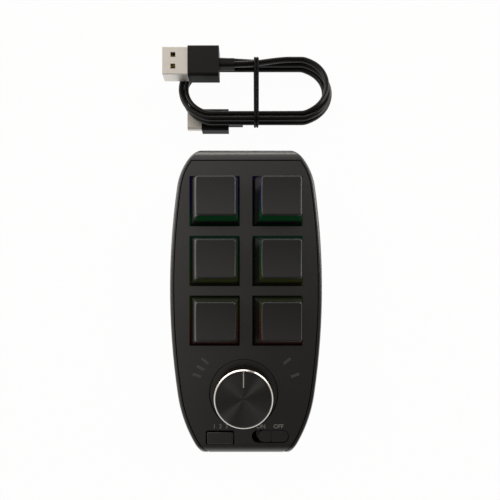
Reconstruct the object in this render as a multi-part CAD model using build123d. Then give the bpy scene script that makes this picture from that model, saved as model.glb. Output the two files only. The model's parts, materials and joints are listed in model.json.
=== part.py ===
"""Macro keypad: six sprung keys in wells, a push-and-turn knob, a layer button, a power slider, a USB lead.

Origin at the middle of the underside of the feet, +X to the right, +Y to the back, +Z up, in millimetres.
"""
import math
import os

from build123d import *

# Layout of the deck: the wells, the knob and the buttons in a row set the length, two columns of wells the width
columns = 2
rows = 3
cap_base = 18.7
cap_gap = 0.25
column_rib = 4.8
row_rib = 3.6
side_margin = 7.7
back_margin = 11.9
knob_margin = 5.1
knob_recess_radius = 13.2
button_margin = 3.5
front_margin = 7.7

# Case plan: straight ends, curved shoulders and long, slightly bowed sides
widest_y = 5.0
side_radius = 280.0
back_corner_inset = 12.0
front_corner_inset = 12.9
back_shoulder_length = 15.7
front_shoulder_length = 23.7

# Case heights and thicknesses
deck_z = 28.0
foot_height = 1.0
shell_floor = 2.0
shell_wall = 2.0
split_z = 9.0
plate_thickness = 2.2
end_roll = 5.7
side_round = 1.2
bottom_chamfer = 0.8

# Seam between the face plate and the upper shell, and the ledge that carries the plate
rim_width = 1.5
seam_gap = 0.4
ledge_width = 2.0
ledge_thickness = 1.8
ledge_front_length = 11.7
front_return = 1.5

# Key wells
well_wall = 1.0
well_floor_gap = 0.2

# Keycaps, with a top that sits to the right of the base
cap_top_shift_x = 1.05
cap_cavity_shift_x = 0.5
cap_taper_x = 4.3
cap_taper_y = 4.5
cap_corner = 0.5
cap_top_corner = 1.2
cap_edge = 0.7
cap_wall = 1.3
cap_roof = 1.8
cap_rise = 6.5
cap_height = 7.6
cap_dish_radius = 50.0
cap_dish_spare = 0.2
cap_boss_radius = 2.6
cap_boss_gap = 0.2

# Key switches, measured up from the board
switch_body = 13.8
switch_flange = 15.6
switch_flange_thickness = 1.0
switch_plate_rise = 5.0
switch_height = 11.6
switch_top_x = 12.4
switch_top_y = 11.4
switch_shoulder = 14.4
switch_floor = 1.5
switch_roof = 1.2
switch_post_radius = 1.95
switch_slide_gap = 0.2
key_travel = 4.0
stem_x = 7.0
stem_y = 5.4
stem_collar_x = 9.0
stem_collar_y = 6.2
stem_collar_height = 1.2
stem_collar_gap = 0.1
stem_pin_radius = 1.2
stem_pin_gap = 0.4
cross_length = 4.0
cross_width = 1.3
cross_height = 3.6
cross_gap = 0.05
spring_radius = 2.0
spring_wire = 0.2
spring_turns = 6
spring_seat_gap = 0.1

# Board, plate, lights and battery
board_thickness = 1.6
board_top_z = 13.5
board_gap = 0.6
sheet_thickness = 1.5
sheet_hole_gap = 0.1
sheet_margin = 1.4
key_light_x = 3.2
key_light_y = 2.0
key_light_height = 1.0
key_light_y_shift = -5.5
light_window_gap = 0.3
indicator_light_x = 1.6
indicator_light_y = 0.8
indicator_light_height = 0.6
chip_size = 7.0
chip_height = 0.9
chip_behind_knob = 11.3
battery_x = 30.0
battery_y = 46.0
battery_height = 6.0
battery_corner = 1.5
battery_shift_y = -3.4

# Light pipes, radial bars on an arc around the knob
pipe_length = 3.6
pipe_width = 1.3
pipe_gap = 0.06
pipe_arc_radius = 20.0
pipe_first_angle = 38.5
pipe_step_angle = 9.0
pipe_flange = 0.5
pipe_flange_height = 0.8
pipe_light_gap = 0.3

# Knob and encoder
knob_x = -0.9
knob_recess_depth = 0.6
knob_recess_edge = 0.3
knob_radius = 10.7
knob_top_rise = 6.9
knob_skirt_height = 5.9
knob_grooves = 60
knob_groove_depth = 0.3
knob_ring_width = 0.62
knob_ring_height = 0.9
knob_ring_chamfer = 0.4
knob_face_drop = 0.25
knob_shaft_cover = 1.0
pointer_width = 0.38
pointer_inner = 4.2
pointer_depth = 0.3
encoder_size = 12.0
encoder_height = 6.0
encoder_floor = 1.0
bushing_radius = 3.5
bushing_height = 6.4
shaft_radius = 3.0
shaft_flat = 1.5
running_gap = 0.05
plunger_radius = 2.8
plunger_height = 2.4
plunger_gap = 0.3
push_travel = 0.5

# Layer button and its tact switch
layer_x = -9.9
layer_slot_x = 11.0
layer_slot_y = 5.4
layer_gap_sides = 0.6
layer_gap_back = 0.65
layer_gap_front = 0.25
layer_corner = 0.5
layer_edge = 0.25
layer_rise = 0.3
layer_flange = 0.5
layer_flange_gap = 0.5
layer_flange_height = 1.0
layer_post = 3.0
layer_travel = 0.4
tact_size = 6.0
tact_height = 3.5
tact_plunger_radius = 1.7
tact_plunger_rise = 1.2
tact_plunger_depth = 1.6

# Power slider and its slide switch
power_slot_x = 9.3
power_slot_shift = 0.4
slider_length = 11.4
slider_width = 4.4
slider_gap = 0.3
slider_travel = 2.2
slider_drop = 0.2
slider_flange = 0.7
slider_flange_height = 0.8
slider_flange_gap = 0.3
slider_groove_width = 0.6
slider_groove_depth = 0.5
slider_groove_shift = -0.9
slider_post = 4.0
slider_fork_depth = 2.4
power_case_x = 8.6
power_case_y = 3.6
power_case_height = 3.5
lever_x = 2.0
lever_y = 1.6
lever_rise = 3.2
lever_depth = 1.6
lever_gap = 0.1

# USB-C port in the back wall
port_width = 8.94
port_height = 3.16
port_length = 7.4
port_sheet = 0.3
port_recess = 0.5
port_opening_gap = 0.25
tongue_width = 6.7
tongue_height = 0.7
tongue_length = 4.6
tongue_back = 1.2

# Screws and posts
screw_front_side = 9.0
screw_front_end = 24.2
screw_back_side = 13.8
screw_back_end = 6.1
screw_shank_radius = 1.1
screw_head_radius = 2.2
screw_head_height = 1.4
screw_head_recess = 1.8
screw_bite = 6.0
screw_gap = 0.05
screw_head_gap = 0.2
screw_slot = 0.5
lower_post_radius = 3.4
upper_post_radius = 2.4

# Feet
foot_radius = 4.0
foot_seat = 0.4
foot_front_side = 12.3
foot_back_side = 11.3
foot_end = 15.7

# Cable in a hank of two layers, leaning on the small plug
cable_diameter = 2.2
cable_pitch = 2.65
hank_middle_x = 4.5
hank_run = 37.6
hank_far_behind = 50.7
hank_radius = 15.0
hank_tilt = 9.0
tie_x = 4.6
tie_width = 1.9
tie_thickness = 0.7
tie_gap = 0.35
tie_lift = 0.05

# Large plug, lying on the hank
plug_a_behind = 44.4
plug_a_z = 10.6
plug_a_front_x = -36.2
plug_a_shell_length = 11.0
plug_a_shell_width = 12.0
plug_a_shell_height = 4.5
plug_a_sheet = 0.35
plug_a_insert_height = 1.9
plug_a_insert_gap = 0.35
plug_a_insert_setback = 0.6
plug_a_window = 2.1
plug_a_window_pitch = 5.0
plug_a_window_setback = 4.6
plug_a_grip_length = 13.5
plug_a_grip_width = 13.0
plug_a_grip_height = 5.6
plug_a_relief_length = 6.6
plug_a_relief_width = 3.6

# Small plug, under the near side of the hank
plug_c_behind = 24.2
plug_c_front_x = -27.1
plug_c_shell_length = 6.65
plug_c_shell_width = 8.34
plug_c_shell_height = 2.56
plug_c_sheet = 0.3
plug_c_grip_length = 12.4
plug_c_grip_width = 9.8
plug_c_grip_height = 4.4
plug_c_relief_length = 6.6
plug_c_relief_width = 3.8
plug_corner = 0.9
plug_seat = 0.1

# Values that follow from the ones above: the layout, from the back edge to the front one
well_size = cap_base + 2 * cap_gap
column_pitch = well_size + column_rib
row_pitch = well_size + row_rib
wells_width = columns * column_pitch - column_rib
wells_length = rows * row_pitch - row_rib
body_width = wells_width + 2 * side_margin
controls_length = knob_margin + 2 * knob_recess_radius + button_margin
body_length = back_margin + wells_length + controls_length + front_margin
half_length = body_length / 2
half_width = body_width / 2
well_middle_y = half_length - back_margin - wells_length / 2
knob_y = half_length - back_margin - wells_length - knob_margin - knob_recess_radius
layer_y = front_margin - half_length
power_slot_y = layer_y + power_slot_shift
back_edge_width = body_width - 2 * back_corner_inset
front_edge_width = body_width - 2 * front_corner_inset
back_shoulder_y = half_length - back_shoulder_length
front_shoulder_y = front_shoulder_length - half_length
ledge_front_y = ledge_front_length - half_length
cap_top_x = cap_base - cap_taper_x
cap_top_y = cap_base - cap_taper_y
cap_dish_depth = (cap_top_y / 2 + cap_dish_spare) ** 2 / (2 * cap_dish_radius)
chip_y = knob_y + chip_behind_knob
battery_middle_y = well_middle_y + battery_shift_y
screw_front_x = half_width - screw_front_side
screw_front_y = screw_front_end - half_length
screw_back_x = half_width - screw_back_side
screw_back_y = half_length - screw_back_end
foot_front_x = half_width - foot_front_side
foot_back_x = half_width - foot_back_side
foot_back_y = half_length - foot_end
foot_front_y = -foot_back_y
hank_far_y = half_length + hank_far_behind
plug_a_y = half_length + plug_a_behind
plug_c_y = half_length + plug_c_behind

# Values that follow from the ones above: the heights and the rest
floor_z = foot_height
inner_floor_z = floor_z + shell_floor
plate_bottom_z = deck_z - plate_thickness
seam_y = half_length - end_roll
board_bottom_z = board_top_z - board_thickness
sheet_top_z = board_top_z + switch_plate_rise
switch_top_z = board_top_z + switch_height
cap_top_z = deck_z + cap_rise
cap_bottom_z = cap_top_z - cap_height
well_floor_z = sheet_top_z + well_floor_gap
well_outer = well_size + 2 * well_wall
knob_top_z = deck_z + knob_top_rise
knob_bottom_z = knob_top_z - knob_ring_height - knob_skirt_height
encoder_top_z = board_top_z + encoder_height
tact_top_z = board_top_z + tact_height
power_case_top_z = board_top_z + power_case_height
slider_slot_length = slider_length + slider_travel + 2 * slider_gap
slider_slot_width = slider_width + 2 * slider_gap
slider_rest_x = power_slot_x + slider_travel / 2
screw_head_z = floor_z + screw_head_recess
screw_top_z = board_top_z + screw_bite
cable_radius = cable_diameter / 2
hank_lift = tie_gap + tie_thickness + tie_lift
far = 200.0


def prism(sketch, low, high):
    """A plan sketch extruded between two heights."""
    return Pos(0, 0, low) * extrude(sketch, high - low)


def block(x_size, y_size, low, high, x=0.0, y=0.0):
    """A box given by its plan size, its middle and its two heights."""
    return prism(Pos(x, y) * Rectangle(x_size, y_size), low, high)


def rod(radius, low, high, x=0.0, y=0.0):
    """An upright round bar."""
    return prism(Pos(x, y) * Circle(radius), low, high)


def well_places():
    """Middles of the six wells, left to right and back to front."""
    places = []
    for row in range(rows):
        for column in range(columns):
            x = (column - (columns - 1) / 2) * column_pitch
            y = well_middle_y + ((rows - 1) / 2 - row) * row_pitch
            places.append((x, y))
    return places


def pipe_places():
    """Middle and angle of each light bar: three on the left, two on the right."""
    left = []
    right = []
    for step in range(3):
        angle = pipe_first_angle - step * pipe_step_angle
        x = pipe_arc_radius * math.cos(math.radians(angle))
        y = knob_y + pipe_arc_radius * math.sin(math.radians(angle))
        left.append((-x, y, -angle))
        if step != 1:
            right.append((x, y, angle))
    return left, right


def screw_places():
    """Front and back pairs of the case screws."""
    front = [(-screw_front_x, screw_front_y), (screw_front_x, screw_front_y)]
    back = [(-screw_back_x, screw_back_y), (screw_back_x, screw_back_y)]
    return front, back


def foot_places():
    """Middles of the four feet."""
    front = [(-foot_front_x, foot_front_y), (foot_front_x, foot_front_y)]
    back = [(-foot_back_x, foot_back_y), (foot_back_x, foot_back_y)]
    return front + back


def side_point(y):
    """Point and forward tangent of the right side arc at a given y."""
    centre_x = half_width - side_radius
    x = centre_x + math.sqrt(side_radius**2 - (y - widest_y) ** 2)
    tangent = ((widest_y - y) / side_radius, (x - centre_x) / side_radius)
    return (x, y), tangent


def case_plan():
    """Plan outline of the case."""
    back_corner = (back_edge_width / 2, half_length)
    front_corner = (front_edge_width / 2, -half_length)
    back_point, back_tangent = side_point(back_shoulder_y)
    front_point, tangent = side_point(front_shoulder_y)
    front_tangent = (-tangent[0], -tangent[1])
    front_shoulder = TangentArc(front_point, front_corner, tangent=front_tangent)
    side = ThreePointArc(front_point, (half_width, widest_y), back_point)
    back_shoulder = TangentArc(back_point, back_corner, tangent=back_tangent)
    right = Curve() + [front_shoulder, side, back_shoulder]
    back_line = Line(back_corner, (-back_corner[0], half_length))
    front_line = Line(front_corner, (-front_corner[0], -half_length))
    return make_face([*right.edges(), *mirror(right, Plane.YZ).edges(), back_line, front_line])


def case_plan_inside(inset):
    """The case plan drawn in by an even margin."""
    return offset(case_plan(), -inset, kind=Kind.INTERSECTION)


def end_profile(inset):
    """Side view of the case, rounded over at the front and the back."""
    height = deck_z - inset
    profile = Pos(0, height / 2) * Rectangle(body_length - 2 * inset, height)
    top_corners = profile.vertices().group_by(Axis.Y)[-1]
    return fillet(top_corners, end_roll - inset)


def rolled(inset):
    """A long bar across the case with the rounded side view."""
    return extrude(Plane.YZ * end_profile(inset), far, both=True)


def case_solid():
    """The whole outer form, with its side edges rounded and its underside chamfered."""
    solid = prism(case_plan(), floor_z, deck_z) & rolled(0)
    rounded = []
    for edge in solid.edges():
        direction = edge % 0.5
        middle = edge @ 0.5
        across = abs(direction.X) > 0.999
        upright = abs(direction.Z) > 0.999
        inner_upright = upright and abs(middle.Y) < half_length - 0.01
        if middle.Z > floor_z + 0.01 and not across and not inner_upright:
            rounded.append(edge)
    solid = fillet(rounded, side_round)
    return chamfer(solid.edges().group_by(Axis.Z)[0], bottom_chamfer)


def plate_plan(inset):
    """Plan of the face plate: drawn in from the sides, cut straight at the back, open to the front."""
    plan = case_plan_inside(inset)
    nose_width = front_edge_width - 2 * (front_return + inset - rim_width)
    plan += Pos(0, -half_length) * Rectangle(nose_width, end_roll * 2)
    back_cut = seam_y - (inset - rim_width)
    return plan & Pos(0, back_cut - far / 2) * Rectangle(far, far)


def lower_shell(case):
    """Tray with the screw posts and the seats for the feet."""
    shell = case & block(far, far, floor_z, split_z)
    shell -= prism(case_plan_inside(shell_wall), inner_floor_z, split_z)
    front, back = screw_places()
    for x, y in front + back:
        shell += rod(lower_post_radius, floor_z + bottom_chamfer, board_bottom_z, x, y)
        shell -= rod(screw_shank_radius + screw_gap, floor_z, board_bottom_z, x, y)
        shell -= rod(screw_head_radius + screw_head_gap, floor_z, screw_head_z, x, y)
    for x, y in foot_places():
        shell -= rod(foot_radius, floor_z, floor_z + foot_seat, x, y)
    return shell


def upper_shell(case):
    """Side and back walls with the rim, the ledge under the face plate and two screw posts."""
    ledge_z = plate_bottom_z - ledge_thickness
    shell = case & block(far, far, split_z, deck_z)
    shell -= prism(case_plan_inside(shell_wall), split_z, ledge_z)
    shell -= prism(plate_plan(rim_width), plate_bottom_z, deck_z)
    shell -= prism(plate_plan(rim_width + ledge_width), ledge_z, plate_bottom_z)
    nose_width = front_edge_width - 2 * front_return
    shell -= block(nose_width, half_length + ledge_front_y, split_z, deck_z, 0, (ledge_front_y - half_length) / 2)
    inner = plate_plan(shell_wall) & Pos(0, ledge_front_y - far / 2) * Rectangle(far, far)
    shell -= prism(inner, ledge_z, plate_bottom_z)
    wells_x = (columns - 1) * column_pitch + well_outer + 2 * seam_gap
    wells_y = (rows - 1) * row_pitch + well_outer + 2 * seam_gap
    shell -= block(wells_x, wells_y, ledge_z, plate_bottom_z, 0, well_middle_y)
    for x, y in screw_places()[1]:
        shell += rod(upper_post_radius, board_top_z, ledge_z, x, y)
        shell -= rod(screw_shank_radius + screw_gap, board_top_z, screw_top_z + screw_gap, x, y)
    port_z = board_top_z + port_height / 2
    opening = SlotOverall(port_width + 2 * port_opening_gap, port_height + 2 * port_opening_gap)
    shell -= Pos(0, half_length, port_z) * Rot(90, 0, 0) * extrude(opening, 2 * shell_wall, both=True)
    return shell


def face_plate(case):
    """Top skin and rounded front with the wells, the knob recess and the openings for the controls."""
    nose_width = front_edge_width - 2 * (front_return + seam_gap)
    plate = case & prism(plate_plan(rim_width + seam_gap), plate_bottom_z, deck_z)
    plate += case & block(nose_width, end_roll, split_z, plate_bottom_z, 0, (end_roll - body_length) / 2)
    plate -= rolled(plate_thickness)
    for x, y in well_places():
        plate += block(well_outer, well_outer, well_floor_z, deck_z, x, y)
    for x, y in well_places():
        plate -= block(well_size, well_size, well_floor_z, deck_z, x, y)
    recess = rod(knob_recess_radius, deck_z - knob_recess_depth, deck_z, knob_x, knob_y)
    plate -= chamfer(recess.edges().group_by(Axis.Z)[0], knob_recess_edge)
    plate -= rod(bushing_radius + seam_gap, plate_bottom_z, deck_z, knob_x, knob_y)
    left, right = pipe_places()
    for x, y, angle in left + right:
        window = Rectangle(pipe_length, pipe_width)
        plate -= prism(Pos(x, y) * Rot(0, 0, angle) * window, plate_bottom_z, deck_z)
    layer_slot = Pos(layer_x, layer_y) * RectangleRounded(layer_slot_x, layer_slot_y, layer_corner)
    plate -= prism(layer_slot, plate_bottom_z - end_roll, deck_z)
    power_slot = Pos(power_slot_x, power_slot_y) * SlotOverall(slider_slot_length, slider_slot_width)
    plate -= prism(power_slot, plate_bottom_z - end_roll, deck_z)
    for x, y in screw_places()[0]:
        plate += rod(upper_post_radius, board_top_z, plate_bottom_z, x, y)
        plate -= rod(screw_shank_radius + screw_gap, board_top_z, screw_top_z + screw_gap, x, y)
    return plate


def rubber_feet():
    """Four round feet set into the underside."""
    return Compound([rod(foot_radius, 0, floor_z + foot_seat, x, y) for x, y in foot_places()])


def case_screw():
    """Slotted screw standing head down."""
    screw = rod(screw_shank_radius, screw_head_z, screw_top_z)
    screw += rod(screw_head_radius, screw_head_z - screw_head_height, screw_head_z)
    slot_top = screw_head_z - screw_head_height / 2
    return screw - block(2 * screw_head_radius, screw_slot, screw_head_z - screw_head_height, slot_top)


def case_screws():
    """Four screws through the lower shell and the board."""
    front, back = screw_places()
    screw = case_screw()
    return Compound([Pos(x, y, 0) * screw for x, y in front + back])


def main_board():
    """Circuit board cut to the inside of the case."""
    board = prism(case_plan_inside(shell_wall + board_gap), board_bottom_z, board_top_z)
    for x, y in well_places():
        board -= rod(switch_post_radius + running_gap, board_bottom_z, board_top_z, x, y)
    front, back = screw_places()
    for x, y in front + back:
        board -= rod(screw_shank_radius + screw_gap, board_bottom_z, board_top_z, x, y)
    return board


def controller_chip():
    """Flat chip under the board."""
    return block(chip_size, chip_size, board_bottom_z - chip_height, board_bottom_z, 0, chip_y)


def battery():
    """Pouch cell lying on the floor of the tray."""
    cell = block(battery_x, battery_y, inner_floor_z, inner_floor_z + battery_height, 0, battery_middle_y)
    return fillet(cell.edges().filter_by(Axis.Y), battery_corner)


def switch_sheet():
    """Steel plate that holds the six key switches."""
    sheet_x = (columns - 1) * column_pitch + well_size + 2 * sheet_margin
    sheet_y = (rows - 1) * row_pitch + well_size + 2 * sheet_margin
    plan = Pos(0, well_middle_y) * Rectangle(sheet_x, sheet_y)
    plan &= case_plan_inside(shell_wall + board_gap)
    sheet = prism(plan, sheet_top_z - sheet_thickness, sheet_top_z)
    hole = switch_body + 2 * sheet_hole_gap
    for x, y in well_places():
        sheet -= block(hole, hole, sheet_top_z - sheet_thickness, sheet_top_z, x, y)
    return sheet


def board_lights():
    """Six key lights and five indicator lights on the board."""
    lights = []
    top = board_top_z + key_light_height
    for x, y in well_places():
        lights.append(block(key_light_x, key_light_y, board_top_z, top, x, y + key_light_y_shift))
    left, right = pipe_places()
    for x, y, angle in left + right:
        plan = Pos(x, y) * Rot(0, 0, angle) * Rectangle(indicator_light_x, indicator_light_y)
        lights.append(prism(plan, board_top_z, board_top_z + indicator_light_height))
    return Compound(lights)


def light_pipe(x, y, angle):
    """One clear bar from its light up to the face plate, with a flange under the plate."""
    place = Pos(x, y) * Rot(0, 0, angle)
    low = board_top_z + indicator_light_height + pipe_light_gap
    bar = Rectangle(pipe_length - 2 * pipe_gap, pipe_width - 2 * pipe_gap)
    flange = Rectangle(pipe_length + 2 * pipe_flange, pipe_width + 2 * pipe_flange)
    pipe = prism(place * bar, low, deck_z)
    return pipe + prism(place * flange, plate_bottom_z - pipe_flange_height, plate_bottom_z)


def light_pipes(places):
    """A group of light bars."""
    return Compound([light_pipe(x, y, angle) for x, y, angle in places])


def port_shell():
    """Drawn steel shell of the USB-C port."""
    outer = SlotOverall(port_width, port_height)
    inner = offset(SlotOverall(port_width, port_height), -port_sheet)
    mouth_y = half_length - port_recess
    place = Pos(0, mouth_y, board_top_z + port_height / 2) * Rot(90, 0, 0)
    shell = place * extrude(outer, port_length)
    return shell - place * extrude(inner, port_length - tongue_back)


def port_tongue():
    """Contact tongue standing on the closed back of the port."""
    middle_y = half_length - port_recess - port_length + tongue_back + tongue_length / 2
    middle_z = board_top_z + port_height / 2
    low = middle_z - tongue_height / 2
    return block(tongue_width, tongue_length, low, low + tongue_height, 0, middle_y)


def switch_housing():
    """Base and top of one key switch, as two pieces."""
    cavity_x = stem_collar_x + 2 * switch_slide_gap
    cavity_y = stem_collar_y + 2 * switch_slide_gap
    split = sheet_top_z + switch_flange_thickness
    base = block(switch_body, switch_body, board_top_z, sheet_top_z)
    base += block(switch_flange, switch_flange, sheet_top_z, split)
    base += rod(switch_post_radius, board_bottom_z, board_top_z)
    base -= block(cavity_x, cavity_y, board_top_z + switch_floor, split)
    foot = Pos(0, 0, split) * Rectangle(switch_shoulder, switch_shoulder)
    head = Pos(0, 0, switch_top_z) * Rectangle(switch_top_x, switch_top_y)
    top = loft([foot, head])
    top -= block(cavity_x, cavity_y, split, switch_top_z - switch_roof)
    top -= block(stem_x + 2 * switch_slide_gap, stem_y + 2 * switch_slide_gap, split, switch_top_z)
    window_x = key_light_x + 2 * light_window_gap
    window_y = key_light_y + 2 * light_window_gap
    base -= block(window_x, window_y, board_top_z, split, 0, key_light_y_shift)
    top -= block(window_x, window_y, split, switch_top_z, 0, key_light_y_shift)
    return Compound([base, top])


def key_stem():
    """Sliding stem: collar under the roof, neck through it, cross on top and a pin inside the spring."""
    collar_top = switch_top_z - switch_roof - stem_collar_gap
    collar_low = collar_top - stem_collar_height
    stem = block(stem_collar_x, stem_collar_y, collar_low, collar_top)
    stem += block(stem_x, stem_y, collar_top, switch_top_z)
    stem += block(cross_length, cross_width, switch_top_z, switch_top_z + cross_height)
    stem += block(cross_width, cross_length, switch_top_z, switch_top_z + cross_height)
    pin_low = board_top_z + switch_floor + key_travel + stem_pin_gap
    return stem + rod(stem_pin_radius, pin_low, collar_low)


def keycap():
    """Tapered cap, its top one shallow dish with rounded edges, hollow below, with a socket for the cross."""
    foot = Pos(0, 0, cap_bottom_z) * RectangleRounded(cap_base, cap_base, cap_corner)
    head = Pos(cap_top_shift_x, 0, cap_top_z) * RectangleRounded(cap_top_x, cap_top_y, cap_top_corner)
    cap = loft([foot, head])
    dish_z = cap_top_z - cap_dish_depth + cap_dish_radius
    cap -= Pos(0, 0, dish_z) * Rot(0, 90, 0) * Cylinder(cap_dish_radius, 2 * cap_base)
    cap = fillet(cap.faces().sort_by(Axis.Z)[-1].edges(), cap_edge)
    inner_top = cap_top_z - cap_roof
    inner_foot = Pos(0, 0, cap_bottom_z) * Rectangle(cap_base - 2 * cap_wall, cap_base - 2 * cap_wall)
    inner_head = Rectangle(cap_top_x - 2 * cap_wall, cap_top_y - 2 * cap_wall)
    cap -= loft([inner_foot, Pos(cap_cavity_shift_x, 0, inner_top) * inner_head])
    boss_low = switch_top_z + cap_boss_gap
    cap += rod(cap_boss_radius, boss_low, inner_top)
    socket_top = switch_top_z + cross_height + cross_gap
    arm = cross_length + 2 * cross_gap
    width = cross_width + 2 * cross_gap
    cap -= block(arm, width, boss_low, socket_top)
    return cap - block(width, arm, boss_low, socket_top)


def biarc(start, start_tangent, end, end_tangent):
    """Two arcs that leave one point and reach another along given tangents."""
    step = end - start
    both = start_tangent + end_tangent
    bend = 2 * (1 - start_tangent.dot(end_tangent))
    along = step.dot(both)
    if bend > 1e-9:
        reach = (math.sqrt(along**2 + bend * step.dot(step)) - along) / bend
    else:
        reach = step.dot(step) / (2 * along)
    first_corner = start + start_tangent * reach
    second_corner = end - end_tangent * reach
    joint = (first_corner + second_corner) * 0.5
    joint_tangent = (second_corner - first_corner).normalized()
    first = TangentArc(start, joint, tangent=start_tangent)
    second = TangentArc(joint, end, tangent=joint_tangent)
    return [first, second]


def switch_spring():
    """Coil spring between the floor of the switch and the collar of the stem."""
    collar_low = switch_top_z - switch_roof - stem_collar_gap - stem_collar_height
    low = board_top_z + switch_floor + spring_wire + spring_seat_gap
    high = collar_low - spring_wire - spring_seat_gap
    slope = (high - low) / (2 * math.pi * spring_turns)
    stations = []
    for quarter in range(4 * spring_turns + 1):
        turn = quarter * math.pi / 2
        point = Vector(spring_radius * math.cos(turn), spring_radius * math.sin(turn), low + slope * turn)
        tangent = Vector(-spring_radius * math.sin(turn), spring_radius * math.cos(turn), slope).normalized()
        stations.append((point, tangent))
    edges = []
    for (start, start_tangent), (end, end_tangent) in zip(stations, stations[1:]):
        edges += biarc(start, start_tangent, end, end_tangent)
    path = Wire(edges)
    start, tangent = stations[0]
    return sweep(Plane(start, z_dir=tangent) * Circle(spring_wire), path)


def encoder_case():
    """Square case of the rotary encoder with a round chamber for the push plunger."""
    case = block(encoder_size, encoder_size, board_top_z, encoder_top_z, knob_x, knob_y)
    chamber = plunger_radius + plunger_gap
    return case - rod(chamber, board_top_z + encoder_floor, encoder_top_z, knob_x, knob_y)


def encoder_bushing():
    """Round neck that guides the shaft."""
    top = encoder_top_z + bushing_height
    bushing = rod(bushing_radius, encoder_top_z, top, knob_x, knob_y)
    return bushing - rod(shaft_radius + running_gap, encoder_top_z, top, knob_x, knob_y)


def encoder_plunger():
    """Disc that the shaft pushes down."""
    return rod(plunger_radius, encoder_top_z - plunger_height, encoder_top_z, knob_x, knob_y)


def shaft_plan(gap):
    """Round shaft section with one flat."""
    section = Circle(shaft_radius + gap)
    flat = Pos(0, shaft_radius - shaft_flat + gap + far / 2) * Rectangle(far, far)
    return Pos(knob_x, knob_y) * (section - flat)


def encoder_shaft():
    """Round in the bushing, with a flat inside the knob."""
    flat_z = knob_bottom_z + push_travel
    top = knob_top_z - knob_ring_height - knob_shaft_cover
    return rod(shaft_radius, encoder_top_z, flat_z, knob_x, knob_y) + prism(shaft_plan(0), flat_z, top)


def knob_skirt():
    """Knurled body of the knob with a bore for the shaft."""
    seat_z = knob_top_z - knob_ring_height
    flat_z = knob_bottom_z + push_travel
    skirt = rod(knob_radius, knob_bottom_z, seat_z, knob_x, knob_y)
    groove_side = knob_groove_depth * math.sqrt(2)
    groove = Pos(knob_radius, 0) * Rot(0, 0, 45) * Rectangle(groove_side, groove_side)
    grooves = Sketch() + [Rot(0, 0, i * 360 / knob_grooves) * groove for i in range(knob_grooves)]
    skirt -= prism(Pos(knob_x, knob_y) * grooves, knob_bottom_z, seat_z)
    skirt -= rod(shaft_radius + running_gap, knob_bottom_z, flat_z, knob_x, knob_y)
    top = seat_z - knob_shaft_cover + running_gap
    return skirt - prism(shaft_plan(running_gap), flat_z, top)


def knob_ring():
    """Bright ring with a chamfer around the face."""
    seat_z = knob_top_z - knob_ring_height
    ring = rod(knob_radius, seat_z, knob_top_z, knob_x, knob_y)
    ring = chamfer(ring.edges().group_by(Axis.Z)[-1], knob_ring_chamfer)
    return ring - rod(knob_radius - knob_ring_width, seat_z, knob_top_z, knob_x, knob_y)


def pointer_plan(width):
    """Plan of the pointer, from the rim of the face inward."""
    outer = knob_radius - knob_ring_width
    middle = (outer + pointer_inner) / 2
    return Pos(knob_x, knob_y + middle) * Rectangle(width, outer - pointer_inner)


def knob_face():
    """Turned face inside the ring with a groove for the pointer."""
    seat_z = knob_top_z - knob_ring_height
    face_z = knob_top_z - knob_face_drop
    face = rod(knob_radius - knob_ring_width, seat_z, face_z, knob_x, knob_y)
    groove = pointer_plan(pointer_width) + Pos(knob_x, knob_y + knob_radius - knob_ring_width) * Rectangle(
        pointer_width, 2 * pointer_width
    )
    return face - prism(groove, face_z - pointer_depth, face_z)


def knob_pointer():
    """Light inlay in the face."""
    face_z = knob_top_z - knob_face_drop
    outer = Pos(knob_x, knob_y) * Circle(knob_radius - knob_ring_width)
    return prism(pointer_plan(pointer_width) & outer, face_z - pointer_depth, face_z)


def layer_button():
    """Button cap with a flange under the face plate and a post down to the tact switch."""
    cap_x = layer_slot_x - 2 * layer_gap_sides
    cap_y = layer_slot_y - layer_gap_back - layer_gap_front
    cap_middle_y = layer_y + (layer_gap_front - layer_gap_back) / 2
    flange_top = plate_bottom_z - layer_flange_gap
    flange_low = flange_top - layer_flange_height
    cap = prism(RectangleRounded(cap_x, cap_y, layer_corner), flange_low, deck_z + layer_rise)
    cap = fillet(cap.edges().group_by(Axis.Z)[-1], layer_edge)
    cap += block(layer_slot_x + 2 * layer_flange, cap_y, flange_low, flange_top)
    cap += block(layer_post, layer_post, tact_top_z + tact_plunger_rise, flange_low)
    return Pos(layer_x, cap_middle_y) * cap


def tact_case():
    """Case of the small push switch under the layer button."""
    case = block(tact_size, tact_size, board_top_z, tact_top_z, layer_x, layer_y)
    depth = tact_plunger_depth + layer_travel + running_gap
    return case - rod(tact_plunger_radius + running_gap, tact_top_z - depth, tact_top_z, layer_x, layer_y)


def tact_plunger():
    """Plunger of the small push switch."""
    low = tact_top_z - tact_plunger_depth
    return rod(tact_plunger_radius, low, tact_top_z + tact_plunger_rise, layer_x, layer_y)


def power_slider():
    """Slider cap with a flange under the face plate and a forked post for the lever."""
    flange_top = plate_bottom_z - slider_flange_gap
    flange_low = flange_top - slider_flange_height
    top = deck_z - slider_drop
    fork_low = power_case_top_z + lever_rise - slider_fork_depth
    slider = prism(SlotOverall(slider_length, slider_width), flange_top, top)
    flange = SlotOverall(slider_length + 2 * slider_flange, slider_width + 2 * slider_flange)
    slider += prism(flange, flange_low, flange_top)
    slider += block(slider_post, slider_post, fork_low, flange_low)
    slider -= block(lever_x + 2 * lever_gap, slider_post, fork_low, fork_low + slider_fork_depth + lever_gap)
    groove_low = top - slider_groove_depth
    slider -= block(slider_groove_width, slider_width, groove_low, top, slider_groove_shift)
    return Pos(slider_rest_x, power_slot_y) * slider


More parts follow.
